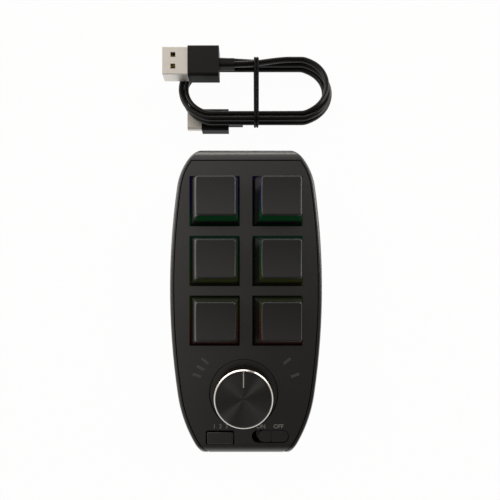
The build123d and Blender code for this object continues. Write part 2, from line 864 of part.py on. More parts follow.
def power_case():
    """Case of the slide switch, with a slot for its lever."""
    case = block(power_case_x, power_case_y, board_top_z, power_case_top_z)
    slot_x = lever_x + slider_travel + 2 * slider_gap
    case -= block(slot_x, lever_y + 2 * lever_gap, power_case_top_z - lever_depth - lever_gap, power_case_top_z)
    return Pos(power_slot_x, power_slot_y) * case


def power_lever():
    """Lever of the slide switch."""
    low = power_case_top_z - lever_depth
    return block(lever_x, lever_y, low, power_case_top_z + lever_rise, slider_rest_x, power_slot_y)


def hank_point(x, v, w):
    """Point of the hank: x along it, v in from its far side, w up from its lower layer."""
    tilt = math.radians(hank_tilt)
    y = hank_far_y - v * math.cos(tilt) + w * math.sin(tilt)
    z = hank_lift + cable_radius + v * math.sin(tilt) + w * math.cos(tilt)
    return Vector(x, y, z)


def hank_bend(x, v_from, v_to, w, side):
    """Half round end of a loop, on the right for side 1 and on the left for side -1."""
    radius = abs(v_to - v_from) / 2
    start = hank_point(x, v_from, w)
    middle = hank_point(x + side * radius, (v_from + v_to) / 2, w)
    return ThreePointArc(start, middle, hank_point(x, v_to, w))


def ramp(start, end):
    """Two equal arcs that ease from one straight run to another one beside it, both along X."""
    heading = Vector(1 if end.X > start.X else -1, 0, 0)
    return biarc(start, heading, end, heading)


def plug_a_exit():
    """Point where the cable leaves the large plug."""
    x = plug_a_front_x + plug_a_shell_length + plug_a_grip_length + plug_a_relief_length
    return Vector(x, plug_a_y, plug_a_z)


def plug_c_exit():
    """Point where the cable leaves the small plug."""
    x = plug_c_front_x + plug_c_shell_length + plug_c_grip_length + plug_c_relief_length
    return Vector(x, plug_c_y, plug_c_grip_height / 2)


def cable_edges():
    """Course of the cable: from the small plug in through the lower layer, out through the upper one."""
    left = hank_middle_x - hank_run / 2
    right = hank_middle_x + hank_run / 2
    near = 2 * hank_radius
    pitch = cable_pitch
    lead = plug_c_exit()
    rise_x = tie_x + 2 * tie_width
    edges = [Line(lead, (rise_x, lead.Y, lead.Z))]
    edges += ramp(Vector(rise_x, lead.Y, lead.Z), hank_point(right, near - pitch, 0))
    edges += [hank_bend(right, near - pitch, pitch, 0, 1)]
    edges += [Line(hank_point(right, pitch, 0), hank_point(left, pitch, 0))]
    edges += [hank_bend(left, pitch, near, 0, -1)]
    edges += [Line(hank_point(left, near, 0), hank_point(right, near, 0))]
    edges += [hank_bend(right, near, 0, 0, 1)]
    edges += ramp(hank_point(right, 0, 0), hank_point(left, 0, pitch))
    edges += [hank_bend(left, 0, near, pitch, -1)]
    edges += [Line(hank_point(left, near, pitch), hank_point(right, near, pitch))]
    edges += [hank_bend(right, near, pitch, pitch, 1)]
    edges += [Line(hank_point(right, pitch, pitch), hank_point(left, pitch, pitch))]
    edges += [hank_bend(left, pitch, near - pitch, pitch, -1)]
    edges += ramp(hank_point(left, near - pitch, pitch), hank_point(right, near - pitch, 2 * pitch))
    edges += [hank_bend(right, near - pitch, pitch, 2 * pitch, 1)]
    edges += ramp(hank_point(right, pitch, 2 * pitch), plug_a_exit())
    return edges


def least_gap(edges):
    """Smallest clear distance between two stretches of the cable that do not follow on each other."""
    points = []
    travelled = 0.0
    for edge in edges:
        steps = max(4, int(edge.length / 1.0))
        for step in range(steps):
            points.append((travelled + edge.length * step / steps, edge @ (step / steps)))
        travelled += edge.length
    least = far
    for i, (s_first, first) in enumerate(points):
        for s_second, second in points[i + 1 :]:
            if s_second - s_first > 4 * cable_diameter:
                least = min(least, (second - first).length)
    return least - cable_diameter


def usb_cable(edges):
    """The cable as one unbroken tube."""
    start = plug_c_exit()
    return sweep(Plane(start, z_dir=(1, 0, 0)) * Circle(cable_radius), Wire(edges))


def cable_tie(edges):
    """Flat strap around both runs of the hank."""
    crossings = []
    for edge in edges:
        first = edge @ 0
        last = edge @ 1
        if min(first.X, last.X) <= tie_x < max(first.X, last.X):
            low, high = (0.0, 1.0) if first.X < last.X else (1.0, 0.0)
            for _ in range(40):
                middle = (low + high) / 2
                if (edge @ middle).X < tie_x:
                    low = middle
                else:
                    high = middle
            crossings.append(edge @ low)
    bundle = [point for point in crossings if point.Z > plug_c_grip_height or point.Y > plug_a_y]
    loops = []
    for margin in (tie_gap, tie_gap + tie_thickness):
        circles = Sketch() + [Pos(point.Y, point.Z) * Circle(cable_radius + margin) for point in bundle]
        loops.append(make_hull(circles.edges()))
    band = Plane.YZ * (loops[1] - loops[0])
    return Pos(tie_x - tie_width / 2, 0, 0) * extrude(band, tie_width)


def plug_bar(width, height, length, x, y, z, corner):
    """A bar along X with rounded long edges."""
    section = RectangleRounded(width, height, corner)
    return Plane((x, y, z), x_dir=(0, 1, 0), z_dir=(1, 0, 0)) * extrude(section, length)


def plug_a_shell():
    """Folded steel shell with two square windows above and below."""
    y, z = plug_a_y, plug_a_z
    length = plug_a_shell_length
    shell = plug_bar(plug_a_shell_width, plug_a_shell_height, length, plug_a_front_x, y, z, plug_a_sheet)
    inner_width = plug_a_shell_width - 2 * plug_a_sheet
    inner_height = plug_a_shell_height - 2 * plug_a_sheet
    shell -= plug_bar(inner_width, inner_height, length, plug_a_front_x, y, z, plug_a_sheet / 2)
    window_x = plug_a_front_x + plug_a_window_setback
    for side in (-1, 1):
        window_y = y + side * plug_a_window_pitch / 2
        shell -= block(plug_a_window, plug_a_window, z - plug_a_shell_height, z + plug_a_shell_height, window_x, window_y)
    return shell


def plug_a_insert():
    """Contact block lying in the lower half of the shell."""
    width = plug_a_shell_width - 2 * (plug_a_sheet + plug_a_insert_gap)
    low = plug_a_z - plug_a_shell_height / 2 + plug_a_sheet
    length = plug_a_shell_length - plug_a_insert_setback
    middle = plug_a_front_x + plug_a_insert_setback + length / 2
    return block(length, width, low, low + plug_a_insert_height, middle, plug_a_y)


def plug_a_grip():
    """Moulded grip of the large plug with its strain relief."""
    x = plug_a_front_x + plug_a_shell_length
    grip = plug_bar(plug_a_grip_width, plug_a_grip_height, plug_a_grip_length, x, plug_a_y, plug_a_z, plug_corner)
    x += plug_a_grip_length
    relief = plug_a_relief_width
    return grip + plug_bar(relief, relief, plug_a_relief_length, x, plug_a_y, plug_a_z, plug_corner)


def plug_c_shell():
    """Oval steel shell of the small plug."""
    z = plug_c_grip_height / 2
    outer = SlotOverall(plug_c_shell_width, plug_c_shell_height)
    inner = offset(SlotOverall(plug_c_shell_width, plug_c_shell_height), -plug_c_sheet)
    place = Plane((plug_c_front_x, plug_c_y, z), x_dir=(0, 1, 0), z_dir=(1, 0, 0))
    shell = place * extrude(outer, plug_c_shell_length)
    return shell - place * extrude(inner, plug_c_shell_length - plug_seat)


def plug_c_grip():
    """Moulded grip of the small plug with its strain relief."""
    z = plug_c_grip_height / 2
    x = plug_c_front_x + plug_c_shell_length
    grip = plug_bar(plug_c_grip_width, plug_c_grip_height, plug_c_grip_length, x, plug_c_y, z, plug_corner)
    x += plug_c_grip_length
    relief = plug_c_relief_width
    return grip + plug_bar(relief, relief, plug_c_relief_length, x, plug_c_y, z, plug_corner)


def save(shape, name):
    """Write one piece."""
    export_step(shape, f"parts/{name}.step")


os.makedirs("parts", exist_ok=True)

case = case_solid()
save(lower_shell(case), "lower_shell")
save(upper_shell(case), "upper_shell")
save(face_plate(case), "face_plate")
save(rubber_feet(), "rubber_feet")
save(case_screws(), "case_screws")
save(main_board(), "main_board")
save(controller_chip(), "controller_chip")
save(battery(), "battery")
save(switch_sheet(), "switch_plate")
save(board_lights(), "board_lights")
left_pipes, right_pipes = pipe_places()
save(light_pipes(left_pipes), "layer_light_pipes")
save(light_pipes(right_pipes), "status_light_pipes")
save(port_shell(), "usb_port_shell")
save(port_tongue(), "usb_port_tongue")

# One key of each kind is drawn at the origin and set into the six places
one_housing = switch_housing()
one_spring = switch_spring()
one_stem = key_stem()
one_cap = keycap()
for number, (key_x, key_y) in enumerate(well_places(), start=1):
    place = Pos(key_x, key_y, 0)
    save(place * one_housing, f"switch_housing_{number}")
    save(place * one_spring, f"switch_spring_{number}")
    save(place * one_stem, f"key_stem_{number}")
    save(place * one_cap, f"keycap_{number}")

save(encoder_case(), "encoder_case")
save(encoder_bushing(), "encoder_bushing")
save(encoder_plunger(), "encoder_plunger")
save(encoder_shaft(), "encoder_shaft")
save(knob_skirt(), "knob_skirt")
save(knob_ring(), "knob_ring")
save(knob_face(), "knob_face")
save(knob_pointer(), "knob_pointer")
save(layer_button(), "layer_button")
save(tact_case(), "tact_case")
save(tact_plunger(), "tact_plunger")
save(power_slider(), "power_slider")
save(power_case(), "power_case")
save(power_lever(), "power_lever")

course = cable_edges()
print("cable length mm", round(sum(edge.length for edge in course), 1))
print("least gap of the cable to itself mm", round(least_gap(course), 2))
save(usb_cable(course), "usb_cable")
save(cable_tie(course), "cable_tie")
save(plug_a_shell(), "usb_a_shell")
save(plug_a_insert(), "usb_a_insert")
save(plug_a_grip(), "usb_a_grip")
save(plug_c_shell(), "usb_c_shell")
save(plug_c_grip(), "usb_c_grip")
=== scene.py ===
# %% [markdown]
# # A macro keypad, dressed in Blender
#
# The keypad is a black desk controller: six keys in square wells with coloured light under them, a
# knob that turns and pushes, a layer button, a power slider, and a data lead tied in a hank behind
# it. The solids come from a CAD pack, which fixes every size and every joint. This lesson adds what
# the solids lack: finishes, print, springs merged into one surface each and a soft cable.

# %% Load the imported keypad
import json
import math

import bpy
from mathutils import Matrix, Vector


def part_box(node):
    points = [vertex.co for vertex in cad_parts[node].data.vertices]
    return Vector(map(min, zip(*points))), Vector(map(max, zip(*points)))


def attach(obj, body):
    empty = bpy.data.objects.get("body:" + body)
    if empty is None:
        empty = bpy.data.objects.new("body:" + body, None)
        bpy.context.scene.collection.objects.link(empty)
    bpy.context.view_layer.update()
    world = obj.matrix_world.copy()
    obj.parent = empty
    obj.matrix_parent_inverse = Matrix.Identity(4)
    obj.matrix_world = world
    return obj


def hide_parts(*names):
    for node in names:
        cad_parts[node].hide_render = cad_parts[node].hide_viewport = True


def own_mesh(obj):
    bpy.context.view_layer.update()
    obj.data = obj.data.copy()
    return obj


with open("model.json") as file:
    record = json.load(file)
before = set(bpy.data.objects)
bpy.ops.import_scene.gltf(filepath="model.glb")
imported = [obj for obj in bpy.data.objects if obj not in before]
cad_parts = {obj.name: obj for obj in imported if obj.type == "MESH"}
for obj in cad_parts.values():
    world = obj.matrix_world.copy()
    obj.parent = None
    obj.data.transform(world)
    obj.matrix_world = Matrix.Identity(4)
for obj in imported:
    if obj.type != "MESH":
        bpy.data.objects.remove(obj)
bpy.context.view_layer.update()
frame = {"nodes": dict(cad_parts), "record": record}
nodes = frame["nodes"]
subparts = frame["record"]["subparts"]
mm = 0.001

# %% One helper for Blender's operators, which work on the selected and active piece


def select_only(piece):
    """Selects one piece and makes it the active one."""
    bpy.ops.object.select_all(action="DESELECT")
    piece.select_set(True)
    bpy.context.view_layer.objects.active = piece


# %% [markdown]
# ## The camera
#
# The picture looks straight down: both ends of the case show the same amount of their sides. Key
# tops are spread apart further than their wells are, so the camera is near, about 115 mm above the
# deck. A straight-down camera needs no turning in Blender. The keypad sits low in the picture
# without leaning, which is what lens shift does.

# %% Camera above the middle of the keypad
picture_width = 500
focal_pixels = 301.3
shift_right_pixels = 4.0
shift_up_pixels = 51.25
camera_height = 143 * mm
nearest_seen = 5 * mm
bpy.ops.object.camera_add(location=(0, 0, camera_height), rotation=(0, 0, 0))
camera = bpy.context.object
camera.name = "camera_above"
camera.data.lens = camera.data.sensor_width * focal_pixels / picture_width
camera.data.shift_x = shift_right_pixels / picture_width
camera.data.shift_y = shift_up_pixels / picture_width
camera.data.clip_start = nearest_seen
bpy.context.scene.camera = camera
print("lens mm", round(camera.data.lens, 2))

# %% [markdown]
# ## The cable in its hank
#
# The lead is a slim round cable, folded into an oval hank that leans on its small plug. A cable is
# one length of something soft, so it is one curve with a round bevel. The route could be a chain of
# arcs, but those join with a change of bend that the eye reads as wire. A NURBS spline of order 3
# eases through its control points instead. Each half-round end has six points on the polygon around
# its arc, and each straight run keeps a point at each end.

# %% Route of the hank, in millimetres
cable_diameter = 2.2
cable_pitch = 2.35
hank_left = -14.3
hank_right = 23.28
hank_far_y = 110.4
hank_near = 30.0
hank_base_z = 2.2
hank_tilt = math.radians(9)
bend_points = 6
climb_pace = 1.6
plug_c_exit = (-1.45, 83.9, 2.2)
from_plug_c = [(4.0, 83.9, 2.2), (10.0, 83.9, 2.3), (19.0, 83.5, 5.9)]
to_plug_a = [(16.0, 108.2, 8.0), (2.0, 104.2, 10.5)]
plug_a_exit = (-5.1, 104.1, 10.6)


def hank_point(x, inward, upward):
    """Point of the hank: along it, in from its far side, up from its lower layer."""
    y = hank_far_y - inward * math.cos(hank_tilt) + upward * math.sin(hank_tilt)
    z = hank_base_z + inward * math.sin(hank_tilt) + upward * math.cos(hank_tilt)
    return (x, y, z)


def half_turn(x, inward_from, inward_to, upward, side, climb=0.0):
    """Control points round one end of the hank, with the ends of the runs that it joins."""
    radius = abs(inward_to - inward_from) / 2
    middle = (inward_from + inward_to) / 2
    heading = 1 if inward_to > inward_from else -1
    step = math.pi / bend_points
    reach = radius / math.cos(step / 2)
    points = [hank_point(x, inward_from, upward)]
    for index in range(bend_points):
        angle = (index + 0.5) * step
        risen = climb * min(1.0, climb_pace * angle / math.pi)
        inward = middle - heading * reach * math.cos(angle)
        points.append(hank_point(x + side * reach * math.sin(angle), inward, upward + risen))
    return points + [hank_point(x, inward_to, upward + climb)]


near, inner, pitch = hank_near, hank_near - cable_pitch, cable_pitch
route = [plug_c_exit] + from_plug_c
route += half_turn(hank_right, inner, pitch, 0, 1)
route += half_turn(hank_left, pitch, near, 0, -1)
route += half_turn(hank_right, near, 0, 0, 1)
route += half_turn(hank_left, 0, near, pitch, -1)
route += half_turn(hank_right, near, pitch, pitch, 1)
route += half_turn(hank_left, pitch, inner, pitch, -1)
route += half_turn(hank_right, inner, pitch, pitch, 1, climb=pitch)
route += to_plug_a + [plug_a_exit]
print("cable route has", len(route), "points")

# %% The cable, whose points carry its half thickness: Blender pads a curve's box by their radius
cable_curve = bpy.data.curves.new("usb_cord", "CURVE")
cable_curve.dimensions = "3D"
cable_curve.bevel_depth = 1.0
cable_curve.bevel_resolution = 5
cable_curve.resolution_u = 6
cable_curve.use_fill_caps = True
spline = cable_curve.splines.new("NURBS")
spline.points.add(len(route) - 1)
for control, (x, y, z) in zip(spline.points, route):
    control.co = (x * mm, y * mm, z * mm, 1)
    control.radius = cable_diameter / 2 * mm
spline.order_u = 3
spline.use_endpoint_u = True
usb_cord = bpy.data.objects.new("usb_cord", cable_curve)
bpy.context.scene.collection.objects.link(usb_cord)
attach(usb_cord, "case")
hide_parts("usb_cable")
print("cable laid")

# %% [markdown]
# ## The tie
#
# A thin rubber cord goes twice around the hank at its waist. A stretched ring takes the shortest
# way around the runs, which is their hull. Drawing that by eye would miss the cable, so the runs
# are read off the cable's own line where it passes the tie. For each direction, the furthest run
# gives one point of the ring, half a cable and half a strand further out.

# %% Where the runs pass the tie
tie_x = 4.6
strand_diameter = 1.0
strand_gap = 0.06
tie_steps = 72
lead_top_z = 4.5
bare = bpy.data.objects.new("bare_route", cable_curve.copy())
bare.data.bevel_depth = 0
bare_mesh = bpy.data.meshes.new_from_object(bare)
line = [vertex.co.copy() / mm for vertex in bare_mesh.vertices]
bpy.data.curves.remove(bare.data)
bpy.data.meshes.remove(bare_mesh)
runs = []
for first, second in zip(line, line[1:]):
    if (first.x - tie_x) * (second.x - tie_x) < 0:
        run = first.lerp(second, (tie_x - first.x) / (second.x - first.x))
        if run.z > lead_top_z or run.y > plug_a_exit[1]:
            runs.append((run.y, run.z))
print("the tie holds", len(runs), "runs")

# %% Two rounds of rubber cord
reach = (cable_diameter + strand_diameter) / 2 + strand_gap
tie_curve = bpy.data.curves.new("tie_strands", "CURVE")
tie_curve.dimensions = "3D"
tie_curve.bevel_depth = strand_diameter / 2 * mm
tie_curve.bevel_resolution = 4
for side in (-1, 1):
    x = tie_x + side * (strand_diameter + strand_gap) / 2
    strand = tie_curve.splines.new("POLY")
    strand.points.add(tie_steps - 1)
    strand.use_cyclic_u = True
    for index, control in enumerate(strand.points):
        angle = 2 * math.pi * index / tie_steps
        out_y, out_z = math.cos(angle), math.sin(angle)
        y, z = max(runs, key=lambda run: run[0] * out_y + run[1] * out_z)
        control.co = (x * mm, (y + reach * out_y) * mm, (z + reach * out_z) * mm, 1)
tie_strands = bpy.data.objects.new("tie_strands", tie_curve)
bpy.context.scene.collection.objects.link(tie_strands)
select_only(tie_strands)
bpy.ops.object.convert(target="MESH")
tie_strands = bpy.context.object
bpy.ops.object.shade_smooth()
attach(tie_strands, "case")
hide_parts("cable_tie")
print("tie made of two rounds")

# %% [markdown]
# ## Contacts
#
# A look into the large plug shows four gilt contact strips on its block, the outer two longer than
# the inner two. The port in the back wall has a row of narrow pads on each face of its tongue. Both
# are stamped from thin sheet, so each starts as a flat bar whose upper edges are bevelled, as the
# stamp leaves them. One bar is modelled and copied. An array makes the row of pads, because a row
# at an even pitch is what that modifier is for.

# %% A stamped bar with bevelled upper edges, and a way to copy it
stamped_share = 0.45


def stamped_bar(name, length_x, length_y, thickness, x, y, z):
    """A thin bar that stands on z, its upper edges rounded, in millimetres."""
    middle = (z + thickness / 2) * mm
    bpy.ops.mesh.primitive_cube_add(size=1, location=(x * mm, y * mm, middle))
    bar = bpy.context.object
    bar.name = name
    bar.scale = (length_x * mm, length_y * mm, thickness * mm)
    bpy.ops.object.transform_apply(location=True, rotation=True, scale=True)
    bpy.ops.object.mode_set(mode="EDIT")
    bpy.ops.mesh.select_mode(type="VERT")
    bpy.ops.mesh.select_all(action="DESELECT")
    bpy.ops.object.mode_set(mode="OBJECT")
    for vertex in bar.data.vertices:
        vertex.select = vertex.co.z > middle
    bpy.ops.object.mode_set(mode="EDIT")
    bpy.ops.mesh.bevel(offset=thickness * stamped_share * mm, segments=2, affect="EDGES")
    bpy.ops.object.mode_set(mode="OBJECT")
    bpy.ops.object.shade_smooth_by_angle()
    return bar


def copied(piece, name, shift):
    """A copy with a mesh of its own, moved inside that mesh, in millimetres."""
    select_only(piece)
    bpy.ops.object.duplicate(linked=False)
    copy = bpy.context.object
    copy.name = name
    copy.location = [value * mm for value in shift]
    bpy.ops.object.transform_apply(location=True, rotation=False, scale=False)
    return copy


def box_in_mm(node_name):
    """The low and high corners of a solid's box, in millimetres."""
    return [[value / mm for value in corner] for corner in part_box(node_name)]


# %% Strips in the large plug
strip_width, strip_thickness = 1.0, 0.15
outer_length, inner_length = 7.4, 6.4
outer_pitch, inner_pitch = 7.0, 2.0
strip_setback = 0.7
block_low, block_high = box_in_mm("usb_a_insert")
block_y = (block_low[1] + block_high[1]) / 2
strips = (("outer", outer_length, outer_pitch), ("inner", inner_length, inner_pitch))
plug_contacts = []
for word, length, spread in strips:
    name = "plug_strip_" + word
    size = (length, strip_width, strip_thickness)
    x = block_low[0] + strip_setback + length / 2
    strip = stamped_bar(name + "_1", *size, x, block_y - spread / 2, block_high[2])
    plug_contacts += [strip, copied(strip, name + "_2", (0, spread, 0))]
print("plug contacts:", len(plug_contacts))

# %% Pads on the tongue of the port
pad_size = (0.26, 2.6, 0.08)
pad_pitch, pad_count, pad_setback = 0.5, 12, 0.5
tongue_low, tongue_high = box_in_mm("usb_port_tongue")
first_x = (tongue_low[0] + tongue_high[0]) / 2 - pad_pitch * (pad_count - 1) / 2
pad_y = tongue_high[1] - pad_setback - pad_size[1] / 2
port_pads = stamped_bar("port_pads_upper", *pad_size, first_x, pad_y, tongue_high[2])
row = port_pads.modifiers.new("row", "ARRAY")
row.count = pad_count
row.use_relative_offset = False
row.use_constant_offset = True
row.constant_offset_displace = (pad_pitch * mm, 0, 0)
bpy.ops.object.modifier_apply(modifier="row")
tongue_middle = (0, 0, (tongue_low[2] + tongue_high[2]) / 2 * mm)
lower_pads = copied(port_pads, "port_pads_lower", (0, 0, 0))
bpy.ops.object.mode_set(mode="EDIT")
bpy.ops.mesh.select_all(action="SELECT")
bpy.ops.transform.mirror(constraint_axis=(False, False, True), center_override=tongue_middle)
bpy.ops.mesh.normals_make_consistent(inside=False)
bpy.ops.object.mode_set(mode="OBJECT")
gilt_pieces = plug_contacts + [port_pads, lower_pads]
for piece in gilt_pieces:
    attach(piece, "case")
print("port pads:", 2 * pad_count)

# %% [markdown]
# ## Floor, surroundings and lamps
#
# The picture is a studio shot on white: hardly any shadow, rounded edges that pick up the white
# around them, and a deck that fades from the back left to the front right. Pouring light on the
# floor would wash out the black plastic. So the floor shows white to the camera and to reflections,
# with a share of plain diffuse left in it for the shadow. A lamp with an edge would show that edge
# in the satin deck, so the fade comes from the surroundings themselves: they brighten smoothly
# towards the back left. Two low strips behind make the bright arcs of the knob's ring, and two
# small boxes at the sides draw the pale spokes on its turned face.

# %% Two small helpers: a colour from its hex value, and a node with its settings and links


def linear(hex_colour):
    """An sRGB hex colour as the linear values that shaders use."""
    parts = [int(hex_colour[i : i + 2], 16) / 255 for i in (1, 3, 5)]
    curved = [c / 12.92 if c <= 0.04045 else ((c + 0.055) / 1.055) ** 2.4 for c in parts]
    return (*curved, 1.0)


def add(tree, kind, settings=None, values=None, links=None):
    """Adds one node: its settings, the values of its sockets, and what is linked into them."""
    made = tree.nodes.new("ShaderNode" + kind)
    for name, value in (settings or {}).items():
        setattr(made, name, value)
    for socket, value in (values or {}).items():
        made.inputs[socket].default_value = value
    for socket, source in (links or {}).items():
        tree.links.new(source, made.inputs[socket])
    return made


# %% White studio floor
floor_size = 4.0
shown_white = 0.97
pure_white = (1, 1, 1, 1)
bpy.ops.mesh.primitive_plane_add(size=floor_size, location=(0, 0, 0))
floor = bpy.context.object
floor.name = "studio_floor"
paper = bpy.data.materials.new("white_paper")
paper.use_nodes = True
tree = paper.node_tree
tree.nodes.clear()
larger = {"operation": "MAXIMUM"}
product = {"operation": "MULTIPLY"}
rays = add(tree, "LightPath").outputs
seen = add(tree, "Math", larger, None, {0: rays["Is Camera Ray"], 1: rays["Is Glossy Ray"]})
seen = add(tree, "Math", larger, None, {0: seen.outputs[0], 1: rays["Is Transmission Ray"]})
share = add(tree, "Math", product, {1: shown_white}, {0: seen.outputs[0]}).outputs[0]
matte = add(tree, "BsdfDiffuse", None, {"Color": linear("#f4f3f1")}).outputs[0]
white = add(tree, "Emission", None, {"Color": pure_white, "Strength": 1.0}).outputs[0]
sheet = add(tree, "MixShader", None, None, {0: share, 1: matte, 2: white})
add(tree, "OutputMaterial", None, None, {"Surface": sheet.outputs[0]})
floor.data.materials.append(paper)
print("floor laid,", floor_size, "m wide")

# %% Surroundings: white at the horizon, dim overhead, smoothly brighter towards the back left
horizon, zenith, brightest = 0.8, 0.29, 0.62
horizon_top = 0.6
light_turn = math.radians(146)
light_growth = 7.4
world = bpy.data.worlds.new("studio")
bpy.context.scene.world = world
world.use_nodes = True
tree = world.node_tree
tree.nodes.clear()
direction = add(tree, "TexCoord").outputs["Generated"]
upward = add(tree, "SeparateXYZ", None, None, {0: direction}).outputs["Z"]
fade = {"From Max": horizon_top, "To Min": horizon, "To Max": 0.0}
low = add(tree, "MapRange", None, fade, {"Value": upward}).outputs[0]
aim = {1: (math.cos(light_turn), math.sin(light_turn), 0)}
agreement = {"operation": "DOT_PRODUCT"}
towards = add(tree, "VectorMath", agreement, aim, {0: direction}).outputs["Value"]
growth = add(tree, "Math", {"operation": "POWER"}, {0: light_growth}, {1: towards}).outputs[0]
high = add(tree, "Math", product, {1: zenith}, {0: growth}).outputs[0]
high = add(tree, "Math", {"operation": "MINIMUM"}, {1: brightest}, {0: high}).outputs[0]
around = add(tree, "Math", larger, None, {0: low, 1: high}).outputs[0]
seen = add(tree, "LightPath").outputs["Is Camera Ray"]
strength = add(tree, "Mix", {"data_type": "FLOAT"}, {3: 1.0}, {0: seen, 2: around}).outputs[0]
tones = {6: linear("#fffaf4"), 7: pure_white}
tone = add(tree, "Mix", {"data_type": "RGBA"}, tones, {0: seen}).outputs[2]
sky = add(tree, "Background", None, None, {"Color": tone, "Strength": strength})
add(tree, "OutputWorld", None, None, {"Surface": sky.outputs[0]})
print("surroundings brightest at", round(math.degrees(light_turn)), "degrees")

# %% Lamps: azimuth and elevation in degrees, width and height in metres, power in watts
lamps = {
    "left_box": (154, 36, 0.35, 0.35, 0.8),
    "right_box": (28, 38, 0.35, 0.35, 2.0),
    "back_left_strip": (128, 14, 2.6, 0.2, 5.5),
    "back_right_strip": (30, 14, 1.1, 0.2, 2.0),
}
lamp_distance = 1.0
for name, (azimuth, elevation, width, height, power) in lamps.items():
    turn, rise = math.radians(azimuth), math.radians(elevation)
    place = (math.cos(turn) * math.cos(rise), math.sin(turn) * math.cos(rise), math.sin(rise))
    bpy.ops.object.light_add(type="AREA", location=[lamp_distance * value for value in place])
    lamp = bpy.context.object
    lamp.name = name
    lamp.data.shape = "RECTANGLE"
    lamp.data.size = width
    lamp.data.size_y = height
    lamp.data.energy = power
    lamp.data.color = linear("#fff8f0")[:3]
    lamp.rotation_euler = lamp.location.to_track_quat("Z", "Y").to_euler()
print("studio lit by", len(lamps), "lamps")

# %% [markdown]
# ## Finishes
#
# Each finish is one function, named for the real material. All read Object coordinates: every piece
# sits at the origin with its place in its mesh, so one millimetre in the pattern is one millimetre
# on the keypad. A pattern drives three things at once, the tone, the gloss and the surface, so each
# of those has a small function that the finishes share.

# %% What the finishes share
noise_ends = (0.3, 0.7)


def begin(name):
    """A new material: itself, its tree, its Principled shader and the Object coordinates."""
    material = bpy.data.materials.new(name)
    material.use_nodes = True
    tree = material.node_tree
    shader = tree.nodes["Principled BSDF"]
    place = add(tree, "TexCoord").outputs["Object"]
    return material, tree, shader, place


def noise(tree, place, scale, detail):
    """Cloudy noise, most of it between the two noise ends."""
    values = {"Scale": scale, "Detail": detail}
    return add(tree, "TexNoise", None, values, {"Vector": place}).outputs[0]


def between(tree, pattern, colour, other):
    """A colour that goes from one hex value to another with the pattern."""
    tones = {6: linear(colour), 7: linear(other)}
    return add(tree, "Mix", {"data_type": "RGBA"}, tones, {0: pattern}).outputs[2]


def ranged(tree, pattern, low, high, ends=(0.0, 1.0)):
    """A value that goes from low to high as the pattern goes from end to end."""
    span = {"From Min": ends[0], "From Max": ends[1], "To Min": low, "To Max": high}
    return add(tree, "MapRange", None, span, {"Value": pattern}).outputs[0]


def bumped(tree, pattern, strength, depth):
    """A surface that the pattern roughens, its depth in millimetres."""
    values = {"Strength": strength, "Distance": depth * mm}
    return add(tree, "Bump", None, values, {"Height": pattern}).outputs[0]


def finish_surface(tree, shader, tone, gloss, bump):
    """Joins a colour, a roughness and a bump to the shader."""
    tree.links.new(tone, shader.inputs["Base Color"])
    tree.links.new(gloss, shader.inputs["Roughness"])
    tree.links.new(bump, shader.inputs["Normal"])


# %% [markdown]
# ### Moulded plastic
#
# The case, keys and buttons are injection-moulded ABS. The mould is spark-eroded, which leaves an
# even grain about a tenth of a millimetre wide that scatters reflections. That is too fine for the
# picture, so it is drawn about twice as coarse. A slow cloud in the tone keeps large faces from
# looking flat. The shell around the sides also has a thin coat of clear lacquer.

# %% Moulded plastic, its widths and depths in millimetres
cloud_width = 14
gloss_spread = 0.15
lacquer_roughness = 0.1


def moulded_plastic(
    name, colour, paler, roughness, grain_width=0.22, grain_depth=0.006, specular=0.5, coat=0.0
):
    """Spark-grained ABS: two close tones, a fine grain in the gloss and the surface."""
    material, tree, shader, place = begin(name)
    cloud = noise(tree, place, 1 / (cloud_width * mm), detail=3.0)
    grain = noise(tree, place, 1 / (grain_width * mm), detail=2.0)
    tone = between(tree, cloud, colour, paler)
    shiniest, dullest = (1 - gloss_spread) * roughness, (1 + gloss_spread) * roughness
    gloss = ranged(tree, grain, shiniest, dullest, noise_ends)
    bump = bumped(tree, grain, strength=0.5, depth=grain_depth)
    shader.inputs["Specular IOR Level"].default_value = specular
    shader.inputs["Coat Weight"].default_value = coat
    shader.inputs["Coat Roughness"].default_value = lacquer_roughness
    finish_surface(tree, shader, tone, gloss, bump)
    return material


# %% [markdown]
# ### Light from under the keys
#
# The light under each key spills up its sides and changes colour from the back of the keypad to the
# front. Small lamps in the wells would be the plain way, but they make a noisy picture, and the
# light would be lost when the model is exported. Here the sides glow faintly by themselves, in a
# band below the top edge, with a colour that depends on how far back the spot is. The outer sides
# of the left keys get a painted pale highlight instead, standing in for light that they mirror from
# the left. All sides are glossier than the tops, so they mirror the dark wells. The walls of the
# wells get a trace of the same colours.

# %% Colours of the key lights, by the share of the way from the back of the keypad to the front
glow_back_y, glow_front_y = 48, -18
glow_stops = [
    (0.04, "#08061e"),
    (0.13, "#040824"),
    (0.20, "#02121c"),
    (0.25, "#02220e"),
    (0.31, "#02220c"),
    (0.37, "#081c18"),
    (0.50, "#021e06"),
    (0.63, "#181a02"),
    (0.70, "#0e1c04"),
    (0.80, "#1c1402"),
    (0.89, "#1e0802"),
    (0.98, "#160404"),
]


def glow_colour(tree, back_to_front):
    """The rainbow of the key lights, read along the keypad."""
    ends = (glow_back_y * mm, glow_front_y * mm)
    along = ranged(tree, back_to_front, 0.0, 1.0, ends)
    rainbow = add(tree, "ValToRGB", None, None, {0: along})
    ramp = rainbow.color_ramp
    while len(ramp.elements) < len(glow_stops):
        ramp.elements.new(0.5)
    for element, (position, hex_colour) in zip(ramp.elements, glow_stops):
        element.position = position
        element.color = linear(hex_colour)
    return rainbow.outputs[0]


# %% Where a spot lies, which way it faces, and how a light comes and goes there


